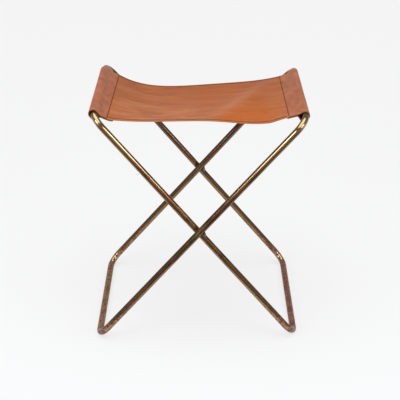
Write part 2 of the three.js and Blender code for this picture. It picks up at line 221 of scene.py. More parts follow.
def aged_brass(name, brown, olive, gold, copper, floor_tone):
    """Brass tube, drawn, bent and left to age under thin wax. The eye sees brown and olive streaks
    along the tube that turn golden towards the top, coppery patches, paler metal at the bends and
    high on the arms that is partly rubbed and partly a painted highlight, reddish low in front and
    pale gold behind, painted shade on the high rear arms under the seat, grey where the lugs' braze
    was hot, and a dull speckled red brown on the bars that stand on the floor, where the wax is
    worn off."""
    material, add = new_material(name)
    run = add("Attribute", {"attribute_name": "tube_run"}).outputs["Vector"]
    place = add("TexCoord", {}).outputs["Object"]
    height = add("SeparateXYZ", {}, place).outputs["Z"]

    # Streaks and clouds are drawn out along the tube, and tints, patches and specks are not.
    along_streaks = add("Mapping", {}, run, scale=per_metre(71.4, 5.56, 5.56))
    streak = add("TexNoise", {}, along_streaks, scale=1, detail=1.5, roughness=0.5)
    along_clouds = add("Mapping", {}, run, scale=per_metre(55.6, 12.5, 12.5))
    cloud = add("TexNoise", {}, along_clouds, scale=1, detail=2.5, roughness=0.55)
    tint = add("TexNoise", {}, place, scale=per_metre(111), detail=2)
    patch = add("TexNoise", {}, place, scale=per_metre(18.18), detail=3, roughness=0.6)
    speck = add("TexNoise", {}, run, scale=per_metre(3.846), detail=2, roughness=0.6)

    # The bends and the arms near the top are paler: partly rubbed metal, partly a painted highlight.
    bent = add("Attribute", {"attribute_name": "bent"}).outputs["Fac"]
    at_bend = add("MapRange", SMOOTH, bent, 0.1, 0.9, 0, 0.9)
    floor_bar = add("MapRange", SMOOTH, height, 0.014, 0.06, 1, 0)
    floor_bar = add("Math", {**MINUS, "use_clamp": True}, floor_bar, at_bend)
    up_top = add("MapRange", SMOOTH, height, 0.28, 0.42, 0, 0.5)
    rubbed = add("Math", {"operation": "MAXIMUM"}, at_bend, up_top)

    # The browns turn golden with height, under light streaks, dark clouds and coppery patches.
    share = add("MapRange", SMOOTH, tint, 0.40, 0.62, 0, 1)
    base = add("Mix", COLOURS, share, brown, olive)
    golden = add("MapRange", SMOOTH, height, 0.18, 0.42, 0, 0.7)
    base = add("Mix", COLOURS, golden, base, gold)
    light = add("MapRange", SMOOTH, streak, 0.44, 0.62, 0, 0.8)
    base = add("Mix", COLOURS, light, base, "#9C784A")
    dark = add("MapRange", SMOOTH, cloud, 0.48, 0.66, 0, 0.85)
    cleaner = add("MapRange", {}, golden, 0, 0.7, 1, 0.6)
    dark = add("Math", TIMES, dark, cleaner)
    base = add("Mix", COLOURS, dark, base, "#381A06")
    coppery = add("MapRange", SMOOTH, patch, 0.50, 0.62, 0, 0.8)
    less_copper = add("MapRange", {}, golden, 0, 0.7, 1, 0.35)
    coppery = add("Math", TIMES, coppery, less_copper)
    base = add("Mix", COLOURS, coppery, base, copper)

    # Behind, the low arms are yellower and the high ones browner, as painted shade under the seat. The
    # floor bars differ again.
    high_up = add("MapRange", SMOOTH, height, 0.1, 0.35, 0, 1)
    rear = add("SeparateXYZ", {}, place).outputs["Y"]
    rear = add("MapRange", SMOOTH, rear, 0.0, 0.15, 0, 0.65)
    under_seat_shade = add("Math", TIMES, rear, high_up)
    yellower = add("Math", MINUS, rear, under_seat_shade)
    base = add("Mix", COLOURS, yellower, base, "#8C6838")
    on_floor = add("Math", TIMES, floor_bar, 0.8)
    base = add("Mix", COLOURS, on_floor, base, floor_tone)
    # Painted shade: the high rear arms are darkened where the seat shades them.
    base = add("Mix", COLOURS, under_seat_shade, base, "#4E301C")

    # The rubbed metal and painted highlight have their own colour, and heat has greyed the tube beside
    # the lugs.
    low_bend = add("Mix", COLOURS, rear, "#8A5A3C", "#E8C68C")
    bend_colour = add("Mix", COLOURS, high_up, low_bend, "#B4986C")
    wear_and_highlight = add("MapRange", SMOOTH, cloud, 0.66, 0.42, 0.75, 0.95)
    wear_and_highlight = add("Math", TIMES, rubbed, wear_and_highlight)
    base = add("Mix", COLOURS, wear_and_highlight, base, bend_colour)
    hottest = (0.008, 0.0, pivot_height - 0.006)
    heat = add("VectorMath", MINUS, place, hottest)
    heat = add("VectorMath", TIMES, heat, (1, 0, 1))
    heat = add("VectorMath", {"operation": "LENGTH"}, heat).outputs["Value"]
    heat = add("MapRange", SMOOTH, heat, 0.005, 0.013, 0.55, 0)
    base = add("Mix", COLOURS, heat, base, "#6C6660")

    # Dark and pinkish specks lie close together low down, and thin out with height.
    dark_speck = add("MapRange", SMOOTH, speck, 0.52, 0.62, 0, 1)
    low_down = add("MapRange", SMOOTH, height, 0.02, 0.16, 0.85, 0.05)
    speckled = add("Math", TIMES, dark_speck, low_down)
    pink_speck = add("MapRange", SMOOTH, speck, 0.49, 0.40, 0, 0.8)
    pinkish = add("Math", TIMES, pink_speck, low_down)
    base = add("Mix", COLOURS, pinkish, base, "#B48474")
    base = add("Mix", COLOURS, speckled, base, "#40241A")

    # Wax makes the tube glossy. The floor bars have lost it, and are pitted and less metallic.
    dull = add("MapRange", SMOOTH, cloud, 0.35, 0.7, 0.15, 0.26)
    dull = add("Math", PLUS, dull, add("Math", TIMES, floor_bar, 0.2))
    dull = add("Math", PLUS, dull, add("Math", TIMES, speckled, 0.2))
    dull = add("Mix", {}, rubbed, dull, 0.14)
    bare = add("Math", MINUS, 0.96, add("Math", TIMES, floor_bar, 0.4))
    rough = add("MapRange", SMOOTH, height, 0.02, 0.16, 0.3, 0.0)
    pits = add("Bump", {}, rough, distance=0.0002, height=speck)
    waxed = add("MapRange", {}, floor_bar, 0, 1, 0.9, 0.15)
    finish = {"specular_tint": "#8A6E58", "coat_weight": waxed, "coat_roughness": 0.09}
    shader = add("BsdfPrincipled", {}, base, bare, dull, normal=pits, **finish)
    add("OutputMaterial", {}, shader)
    return material


coppery_brass = aged_brass(
    "coppery_aged_brass",
    brown="#9A6038",
    olive="#846A34",
    gold="#9E682C",
    copper="#BA7644",
    floor_tone="#A26E5C",
)
olive_brass = aged_brass(
    "olive_aged_brass",
    brown="#7C5236",
    olive="#705A2C",
    gold="#94682A",
    copper="#9A5A3C",
    floor_tone="#AC8662",
)
for letter, side, brass in (("a", -1, coppery_brass), ("b", 1, olive_brass)):
    skin, run, bent = loop_tube(side)
    tube = closed_piece(f"loop_{letter}", skin, grid_faces(*skin.shape[:2], close_rows=True), brass)
    give_points(tube, "tube_run", run, "FLOAT_VECTOR", "vector")
    give_points(tube, "bent", bent)
    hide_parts(f"frame_{letter}_tube")
    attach(tube, f"frame_{letter}")

# The spigots are short steel tubes, pushed into both ends of each bent tube inside the top bar.
# They are hidden under the leather, and keep the CAD's own shape.


def bronzed_steel(name, base_code, patch_code):
    """Steel with a chemical bronze finish. It is dark and satin, with brown clouds a few millimetres
    across and a fine grit."""
    material, add = new_material(name)
    place = add("TexCoord", {}).outputs["Object"]
    cloud = add("TexNoise", {}, place, scale=per_metre(3.571), detail=4)
    grit = add("TexNoise", {}, place, scale=per_metre(0.625), detail=2)
    patched = add("MapRange", SMOOTH, cloud, 0.40, 0.62, 0, 1)
    base = add("Mix", COLOURS, patched, base_code, patch_code)
    dull = add("MapRange", SMOOTH, cloud, 0.3, 0.7, 0.32, 0.52)
    bump = add("Bump", {}, strength=0.3, distance=0.0001, height=grit)
    shader = add("BsdfPrincipled", {}, base, 0.9, dull, normal=bump)
    add("OutputMaterial", {}, shader)
    return material


steel = bronzed_steel("bronzed_steel", "#8A6E4C", "#5A4128")
for letter in "ab":
    spigot_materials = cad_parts[f"frame_{letter}_joiner"].data.materials
    spigot_materials.clear()
    spigot_materials.append(steel)

# A rivet of 4.8 mm steel rod goes through both tubes at each crossing and is hammered over outside
# into a low round head. A thin steel washer on it keeps the tubes apart as they turn.

RIVET_RADIUS = 0.0024
RIVET_HEAD_RADIUS = 0.0035
RIVET_HEAD_RISE = 0.0012
WASHER_RADIUS = 0.0062
WASHER_BORE = 0.0027
WASHER_THICKNESS = 0.001
SEAT_GAP = 0.0003
SAME_POINT = 1e-6

LATHE_SIDES = 36
DOME_STEPS = 8
RIM_STEPS = 6


def turned(profile, centre, close_profile):
    """A round piece about an axis along y: each (radius, y) of the profile goes round a circle,
    and the faces join neighbouring circles."""
    angle = np.linspace(0, 2 * np.pi, LATHE_SIDES, endpoint=False)
    radius, y = profile[:, :1], np.repeat(profile[:, 1:], LATHE_SIDES, axis=1)
    points = np.stack([radius * np.cos(angle), y, radius * np.sin(angle)], axis=-1) + centre
    return points, grid_faces(len(profile), LATHE_SIDES, close_profile)


def merged(piece):
    """The piece with points that lie together made one, so that its poles and seams are closed."""
    shape = bmesh.new()
    shape.from_mesh(piece.data)
    bmesh.ops.remove_doubles(shape, verts=shape.verts, dist=SAME_POINT)
    bmesh.ops.recalc_face_normals(shape, faces=shape.faces)
    shape.to_mesh(piece.data)
    shape.free()
    return piece


head_foot = LOOP_OFFSET / 2 + TUBE_RADIUS + SEAT_GAP
swell = np.linspace(0, np.pi / 2, DOME_STEPS + 1)
dome_radius = RIVET_HEAD_RADIUS * np.sin(swell)
dome_y = head_foot + RIVET_HEAD_RISE * np.cos(swell)
dome = np.stack([dome_radius, dome_y], axis=-1)
half_rivet = np.concatenate([dome, [[RIVET_RADIUS, head_foot], [RIVET_RADIUS, 0]]])
rivet_profile = np.concatenate([half_rivet, (half_rivet * [1, -1])[-2::-1]])

turn = np.linspace(0, np.pi, RIM_STEPS + 1)
rim_round = WASHER_THICKNESS / 2
rim_radius = WASHER_RADIUS - rim_round + rim_round * np.sin(turn)
bore_radius = WASHER_BORE + rim_round - rim_round * np.sin(turn)
rim_y = rim_round * np.cos(turn)
rim = np.stack([rim_radius, rim_y], axis=-1)
bore = np.stack([bore_radius, -rim_y], axis=-1)
washer_profile = np.concatenate([rim, bore])

rivet_steel = bronzed_steel("hammered_rivet_bronze", "#9A7B4E", "#6B4C2C")
crossings = {
    place: np.array([0, y, pivot_height])
    for place, y in (("front", -LOOP_WIDTH / 2), ("rear", LOOP_WIDTH / 2))
}
lathe_work = {"pivot_rivet": (rivet_profile, False), "spacer_washer": (washer_profile, True)}
for place, pivot in crossings.items():
    for name, (profile, closed) in lathe_work.items():
        points, faces = turned(profile, pivot, closed)
        part = merged(closed_piece(f"{place}_{name}_turned", points, faces, rivet_steel))
        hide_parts(f"{place}_{name}")
        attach(part, "frame_a")

# A small wedge of steel is brazed to loop a in the notch at the right of each crossing, and loop
# b's upper arm rests on it when the stool is open. The braze stands round its foot as beads.

LUG_WIDTH = 0.0048
LUG_CORNER = 0.0007
LUG_REAR = 0.01015
LUG_FRONT = -0.01115
LUG_ROUNDING = 0.0004
BEAD_RADIUS = 0.0015
BEAD_LENGTH = 0.0105
BEAD_SETBACK = 0.0042
BEAD_SINK = 0.0008
BEAD_SWELLS = 3
BEAD_SWELL_SHARE = 0.12

CAD_TUBE_SIDES = 20
ROUNDING_STEPS = 3
BEAD_STEPS = 18
BEAD_SIDES = 16

# The CAD's tube has flat sides, and this is the distance of their corners from its centre line.
facet_reach = TUBE_RADIUS / np.cos(np.pi / CAD_TUBE_SIDES)


def lug_block(centre):
    """Wedge along y. Its section is the notch's triangle: from its tip beside the tubes it widens
    as the tubes part, with its corners cut off."""
    tip = (facet_reach + SEAT_GAP) / np.sin(leg_angle)
    x = np.array([tip + LUG_CORNER, tip + LUG_WIDTH - LUG_CORNER, tip + LUG_WIDTH])
    z = (np.array([x[0], x[1], x[1]]) - tip) * np.tan(leg_angle)
    outline_x, outline_z = np.concatenate([x, x[::-1]]), np.concatenate([z, -z[::-1]])
    ends = np.array([[LUG_REAR], [LUG_FRONT]])
    return np.stack(np.broadcast_arrays(outline_x, ends, outline_z), axis=-1) + centre


def rounded(piece):
    """The piece with its open ends filled and all its edges rounded."""
    shape = bmesh.new()
    shape.from_mesh(piece.data)
    bmesh.ops.holes_fill(shape, edges=[edge for edge in shape.edges if edge.is_boundary])
    rounding = {"offset": LUG_ROUNDING, "segments": ROUNDING_STEPS, "profile": 0.5}
    bmesh.ops.bevel(shape, geom=list(shape.edges), affect="EDGES", **rounding)
    bmesh.ops.recalc_face_normals(shape, faces=shape.faces)
    shape.to_mesh(piece.data)
    shape.free()
    piece.data.shade_smooth()
    return piece


def braze_bead(start, end):
    """A bead from start to end: circles about the line between them, whose radius goes with
    sqrt(sin(pi * share)) and swells a little three times along it."""
    share = np.linspace(0, 1, BEAD_STEPS + 1)
    angle = np.linspace(0, 2 * np.pi, BEAD_SIDES, endpoint=False)
    along = (end - start) / np.linalg.norm(end - start)
    rearward = np.array([0, 1, 0])
    side = np.cross(along, rearward)
    swell = 1 + BEAD_SWELL_SHARE * np.sin(2 * np.pi * BEAD_SWELLS * share)
    size = BEAD_RADIUS * np.sqrt(np.sin(np.pi * share)) * swell
    ring = np.cos(angle)[:, None] * side + np.sin(angle)[:, None] * rearward
    return start + share[:, None, None] * (end - start) + size[:, None, None] * ring


braze = bronzed_steel("brazing_bronze", "#C08468", "#7A4A38")
arm = np.array([np.cos(leg_angle), 0, -np.sin(leg_angle)])
beside = np.array([np.sin(leg_angle), 0, np.cos(leg_angle)])
reach = arm * BEAD_LENGTH / 2
for place, pivot in crossings.items():
    points = lug_block(pivot)
    faces = grid_faces(*points.shape[:2])
    block = rounded(closed_piece(f"{place}_stop_lug_block", points, faces, braze))
    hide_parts(f"{place}_stop_lug")
    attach(block, "frame_a")
    for name, away in (("front", -1), ("rear", 1)):
        middle = pivot + [0, LOOP_OFFSET / 2 + away * BEAD_SETBACK, 0]
        middle = middle + beside * (TUBE_RADIUS - BEAD_SINK) + arm * (TUBE_RADIUS + BEAD_LENGTH / 2)
        points = braze_bead(middle - reach, middle + reach)
        faces = grid_faces(*points.shape[:2])
        bead = merged(closed_piece(f"{place}_lug_braze_{name}", points, faces, braze))
        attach(bead, "frame_a")

# The seat is one piece of 2 mm saddle leather, tanned brown on the grain side. Each end goes round
# a top bar and is stitched back under the seat, and the free flap ends just past the seam. It has
# stretched into a shallow hollow, with a soft belly at the front right.

# Of two values in brackets, the first is for the sheet's rear edge and the second for its front.
LEATHER = 0.002
FRONT_INSET = 0.016
REAR_INSET = 0.024
SEAM_REACH = 0.0285
SEWN_REACH = {"left": (0.0285, 0.0240), "right": (0.0285, 0.0285)}
FLAP_OVERLAP = {"left": 0.0065, "right": 0.0035}
TIP_REACH = 0.012
TIP_DROPS = {"left": (0.003, 0.003), "right": (0.003, -0.0025)}
SEAM_DROPS = {"left": (0.0094, 0.0105), "right": (0.0095, 0.0021)}
HANG_REAR = 0.0198
HANG_FRONT = 0.0038
HANG_MIDDLE_EXTRA = 0.006
HANG_SKEW = 0.64
HANG_STEEPNESS = 0.8
SEAM_FADE_SHARE = 0.09
BELLY_HANG = 0.0097
BELLY_X = 0.111
BELLY_HALF_WIDTH = 0.072
BELLY_HALF_DEPTH = 0.070
FOLD_RISE = 0.005
FOLD_START_X = 0.020
FOLD_END_X = 0.150
FOLD_HALF_WIDTH = 0.024
LAYER_GAP = 0.0001
SLEEVE_PLAY = 0.00015
HEM_INSET = 0.0075
SEAM_GROOVE = 0.0005
SEAM_GROOVE_COLUMNS = 0.9

# Ripples, as their spacing along y and along x and their share of the height.
RIPPLES = ((0.037, 0.42, 1), (0.021, -0.27, 0.6))
RIPPLE_RISE = 0.00018
RIPPLE_FADE = 0.05

# Where the leather is painted a deeper orange as shade, beyond the fold and in a patch behind, and
# where a pale highlight is painted beside the fold's crest, partly rubbed leather.
ORANGE_SHADE_FADE = 0.03
ORANGE_SHADE_FRONT_LEAD = 0.014
ORANGE_SHADE_SEAM_FADE = 0.05
ORANGE_SHADE_DEPTH = 0.11
REAR_ORANGE_SHADE_SHARE = 0.7
REAR_ORANGE_SHADE_X = 0.05
REAR_ORANGE_SHADE_Y = 0.07
REAR_ORANGE_SHADE_HALF_WIDTH = 0.09
REAR_ORANGE_SHADE_HALF_DEPTH = 0.12
RUB_AND_HIGHLIGHT_SETBACK = 0.008
RUB_AND_HIGHLIGHT_HALF_WIDTH = 0.013

FLAP_END_STEPS = 4
FLAP_STEPS = 12
LOWER_ARC_STEPS = 9
UPPER_ARC_STEPS = 20
LEAVE_STEPS = 5
SLEEVE_STEPS = 9
SEAT_STEPS = 66
SHEET_ROWS = 72
EDGE_ROW_INSETS = (LEATHER / 2, 0.0016, 0.0026)
EDGE_ROUND_ROWS = 5
END_ROUND_STEPS = 4
EASE_ROUNDS = 3

FRONT_EDGE = (FRONT_INSET + LOOP_OFFSET / 2) - LOOP_WIDTH / 2
REAR_EDGE = LOOP_WIDTH / 2 - (REAR_INSET + LOOP_OFFSET / 2)
seam_x = TOP_SPAN / 2 - SEAM_REACH
seam_column = FLAP_STEPS + LOWER_ARC_STEPS + UPPER_ARC_STEPS + LEAVE_STEPS + SLEEVE_STEPS + 2
half_columns = seam_column + 1 + SEAT_STEPS
whole_columns = 2 * half_columns - 1


def mix(first, second, share):
    """The value that lies at a share of the way from first to second."""
    return first + (second - first) * share


def forward_of(y):
    """0 at the sheet's rear edge and 1 at its front edge."""
    return (REAR_EDGE - y) / (REAR_EDGE - FRONT_EDGE)


def seat_rise(x, forward):
    """Height of the sheet's middle over the top bars' centres: a line between the two seams, less
    a hang of 4 t (1 - t) times a skewed and steepened share, less a round belly at the front
    right, plus a long fold that runs from the middle of the front to the rear right."""
    t = np.clip((x + seam_x) / (2 * seam_x), 0, 1)
    left = mix(*SEAM_DROPS["left"], forward)
    right = mix(*SEAM_DROPS["right"], forward)
    middle = 4 * forward * (1 - forward)
    depth = mix(HANG_REAR, HANG_FRONT, forward) + HANG_MIDDLE_EXTRA * middle
    leftward = 1 - 2 * t
    hang = 4 * t * (1 - t) * (1 + HANG_SKEW * leftward + HANG_STEEPNESS * leftward**2)
    behind = (1 - forward) * (REAR_EDGE - FRONT_EDGE)
    fade = np.minimum(1, t * (1 - t) / SEAM_FADE_SHARE)
    belly = np.exp(-(((x - BELLY_X) / BELLY_HALF_WIDTH) ** 2) - (behind / BELLY_HALF_DEPTH) ** 2)
    fold_x = mix(FOLD_END_X, FOLD_START_X, forward)
    fold = np.exp(-(((x - fold_x) / FOLD_HALF_WIDTH) ** 2)) * middle
    line = -mix(left, right, t)
    return line - depth * hang - BELLY_HANG * belly * fade + FOLD_RISE * fold * fade


def half_ribbon(side, forward):
    """Middle of the sheet seen from the front, as x and height over the bars, from the flap's end
    round one top bar to the middle of the seat. Beyond the seam it is the seat's formula; from
    the seam to the sleeve's tip it is a line; round the bar it is an arc about the bar's centre,
    and below it an arc about a point let down by the sleeve's slack; the flap lies one layer
    under the sheet."""
    forward = forward[:, None]
    inward = 1 if side == "left" else -1
    bar_x = -inward * TOP_SPAN / 2
    radius = facet_reach + SEAT_GAP + LEATHER / 2 + SLEEVE_PLAY
    # The front edge lies past the start of a bend, whose inner side needs this much room.
    over_bend = BEND_RADIUS - FRONT_INSET
    inner_bend = BEND_RADIUS - facet_reach
    slack = inner_bend - np.sqrt(inner_bend**2 - over_bend**2)
    slack_bar = slack * np.array([np.cos(leg_angle), -np.sin(leg_angle)])
    tip = np.concatenate([np.full_like(forward, TIP_REACH), -mix(*TIP_DROPS[side], forward)], axis=1)
    sewn = mix(*SEWN_REACH[side], forward)
    seam_rise = seat_rise(bar_x + inward * SEAM_REACH, forward)

    def sheet(reach):
        """The sheet so far inward from the bar: a line to the seam, and then the seat."""
        between = mix(tip[:, 1:], seam_rise, (reach - TIP_REACH) / (SEAM_REACH - TIP_REACH))
        rise = np.where(reach > SEAM_REACH, seat_rise(bar_x + inward * reach, forward), between)
        return np.stack([reach, rise], axis=-1)

    def steps(first, last, count, start=0):
        """Even steps from first to last, without those before the start."""
        return mix(first, last, np.linspace(0, 1, count + 1)[None, start:])

    def arc(centre, first, last, count):
        """Points at the sleeve's radius about a centre, from one angle to another."""
        angle = steps(first, last, count)
        return centre + radius * np.stack([np.cos(angle), np.sin(angle)], axis=-1)

    flap_end = SEAM_REACH + FLAP_OVERLAP[side]
    free_flap = steps(flap_end, sewn, FLAP_END_STEPS)
    sewn_flap = steps(sewn, TIP_REACH, FLAP_STEPS - FLAP_END_STEPS, 1)
    flap_reach = np.concatenate([free_flap, sewn_flap], axis=1)
    above = sheet(flap_reach)
    ahead = sheet(flap_reach + LEATHER / 4) - above
    ahead /= np.linalg.norm(ahead, axis=-1, keepdims=True)
    flap = above + (LEATHER + LAYER_GAP) * np.stack([ahead[..., 1], -ahead[..., 0]], axis=-1)

    under = flap[:, -1] - slack_bar
    far = np.linalg.norm(under, axis=1, keepdims=True)
    arrive = np.arctan2(under[:, 1:], under[:, :1]) - np.arccos(radius / far)
    outermost = np.full_like(forward, -leg_angle - np.pi / 2)
    far = np.linalg.norm(tip, axis=1, keepdims=True)
    leave = np.arctan2(tip[:, 1:], tip[:, :1]) + np.arccos(radius / far) - 2 * np.pi
    lower = arc(slack_bar, arrive, outermost, LOWER_ARC_STEPS)
    upper = arc(np.zeros(2), outermost, leave, UPPER_ARC_STEPS)
    share = np.linspace(0, 1, LEAVE_STEPS + 1)[None, 1:-1, None]
    leaving = mix(upper[:, -1:], tip[:, None], share)
    over = sheet(steps(TIP_REACH, sewn, SLEEVE_STEPS))
    seat = sheet(steps(sewn, TOP_SPAN / 2, SEAT_STEPS, 1))
    path = np.concatenate([flap, lower, upper, leaving, over, seat], axis=1)
    return np.stack([bar_x + inward * path[..., 0], path[..., 1]], axis=-1)


def sheet_middle(y):
    """Middle of the whole sheet at each of these places along y, from the left flap's end to the
    right flap's end: both halves, with each point eased a few times to the mean of itself and its
    neighbours so that the leather has no sharp creases. Shallow ripples run along the seat, each
    share * sin(2 pi (y / spacing + x / spacing)), and fade out towards the seams."""
    forward = forward_of(y)
    left, right = half_ribbon("left", forward), half_ribbon("right", forward)
    path = np.concatenate([left, right[:, -2::-1]], axis=1)
    for _ in range(EASE_ROUNDS):
        path[:, 1:-1] = (path[:, :-2] + 2 * path[:, 1:-1] + path[:, 2:]) / 4
    x, rise = path[..., 0], path[..., 1]
    y = np.broadcast_to(y[:, None], x.shape)
    loose = np.clip((seam_x - np.abs(x)) / RIPPLE_FADE, 0, 1) ** 2
    ripple = sum(
        share * np.sin(2 * np.pi * (y / y_spacing + x / x_spacing))
        for y_spacing, x_spacing, share in RIPPLES
    )
    on_seat = np.zeros(x.shape[1])
    on_seat[seam_column:-seam_column] = 1
    rise = rise + RIPPLE_RISE * ripple * loose * on_seat
    return np.stack([x, y, top_height + rise], axis=-1)


def sheet_normals(middle):
    """Unit normals to the grain side: the way across the sheet, rear to front, crossed with the
    way along it, left to right."""
    across = np.gradient(middle, axis=0)
    along = np.gradient(middle, axis=1)
    normal = np.cross(across, along)
    return normal / np.linalg.norm(normal, axis=-1, keepdims=True)


def leather_skin():
    """Both faces of the sheet and its rounded edges, as closed rings of points round the sheet's
    width, one ring for each step along it. A point is middle + half * cos(tilt) * normal, and on
    an edge also half * sin(tilt) outwards. The end rings shrink to a line in the same way. Also
    gives each point its place on the flat cut piece, and 1 on the grain side or 0 on the other,
    and how far along the flat piece each ring lies."""
    half = LEATHER / 2
    inner = np.linspace(REAR_EDGE - HEM_INSET, FRONT_EDGE + HEM_INSET, SHEET_ROWS + 1)
    near_rear = REAR_EDGE - np.array(EDGE_ROW_INSETS)
    y = np.concatenate([near_rear, inner, (FRONT_EDGE + REAR_EDGE) - near_rear[::-1]])
    middle = sheet_middle(y)
    normal = sheet_normals(middle)
    steps = np.linalg.norm(np.diff(middle, axis=1), axis=-1).mean(axis=0)
    length = np.concatenate([[0], np.cumsum(steps)])
    length -= length[half_columns - 1]

    tilt = np.linspace(0, np.pi, EDGE_ROUND_ROWS + 2)[1:-1, None, None]
    outwards = np.array([0, 1, 0])
    rear_round = middle[0] + half * (np.cos(tilt) * normal[0] + np.sin(tilt) * outwards)
    front_round = middle[-1] + half * (np.cos(tilt) * normal[-1] - np.sin(tilt) * outwards)
    seam_groove = np.zeros(whole_columns)
    for column in (seam_column, whole_columns - 1 - seam_column):
        away = (np.arange(whole_columns) - column) / SEAM_GROOVE_COLUMNS
        seam_groove += SEAM_GROOVE * np.exp(-(away**2))
    grain = middle + (half - seam_groove[None, :, None]) * normal
    flesh = (middle - half * normal)[::-1]
    rings = np.concatenate([grain, front_round, flesh, rear_round[::-1]])

    row_counts = [len(y), EDGE_ROUND_ROWS, len(y), EDGE_ROUND_ROWS]
    side = np.repeat([1, 0.5, 0, 0.5], row_counts)
    front_row, rear_row = [FRONT_EDGE] * EDGE_ROUND_ROWS, [REAR_EDGE] * EDGE_ROUND_ROWS
    width_place = np.concatenate([y, front_row, y[::-1], rear_row])
    front_middle = np.repeat(middle[-1:], EDGE_ROUND_ROWS, axis=0)
    rear_middle = np.repeat(middle[:1], EDGE_ROUND_ROWS, axis=0)
    centre = np.concatenate([middle, front_middle, middle[::-1], rear_middle])
    end_tilt = np.linspace(0, np.pi / 2, END_ROUND_STEPS + 1)[1:]

    def end_round(end, before_end):
        """Rings that close an end: its spread * cos(bow), moved on by half * sin(bow)."""
        beyond = centre[:, end] - centre[:, before_end]
        beyond /= np.linalg.norm(beyond, axis=1, keepdims=True)
        spread = rings[:, end] - centre[:, end]
        bow = end_tilt[:, None, None]
        closing = centre[:, end] + np.cos(bow) * spread + half * np.sin(bow) * beyond
        return closing.swapaxes(0, 1)

    skin = np.concatenate([end_round(0, 1)[:, ::-1], rings, end_round(-1, -2)], axis=1)
    ends = half * np.sin(end_tilt)
    length = np.concatenate([length[0] - ends[::-1], length, length[-1] + ends])
    flat = np.stack(np.broadcast_arrays(length[None, :], width_place[:, None]), axis=-1)
    return skin, flat, np.broadcast_to(side[:, None], skin.shape[:2]), length


def seat_shade_and_highlight(x, y):
    """How much painted orange shade and how much pale painted highlight the leather has, at each
    place. The shade lies right of the fold, less towards the rear and the right seam, and in a round
    patch at the rear. The highlight, partly rubbed leather, lies beside the fold's crest, by
    4 t (1 - t) along it. What fades out goes with exp(-square of the distance over its half width)."""
    forward = forward_of(y)
    behind = (1 - forward) * (REAR_EDGE - FRONT_EDGE)
    fold_x = mix(FOLD_END_X, FOLD_START_X, forward)
    past_fold = np.clip((x - fold_x + ORANGE_SHADE_FRONT_LEAD * forward**4) / ORANGE_SHADE_FADE, 0, 1)
    clear_of_seam = np.clip((seam_x - x) / ORANGE_SHADE_SEAM_FADE, 0, 1)
    patch_x = (x - REAR_ORANGE_SHADE_X) / REAR_ORANGE_SHADE_HALF_WIDTH
    patch_y = (y - REAR_ORANGE_SHADE_Y) / REAR_ORANGE_SHADE_HALF_DEPTH
    stretched = past_fold * clear_of_seam * np.exp(-((behind / ORANGE_SHADE_DEPTH) ** 2))
    stretched = stretched + REAR_ORANGE_SHADE_SHARE * np.exp(-(patch_x**2) - patch_y**2)
    from_crest = (x - fold_x + RUB_AND_HIGHLIGHT_SETBACK) / RUB_AND_HIGHLIGHT_HALF_WIDTH
    return stretched, np.exp(-(from_crest**2)) * 4 * forward * (1 - forward)


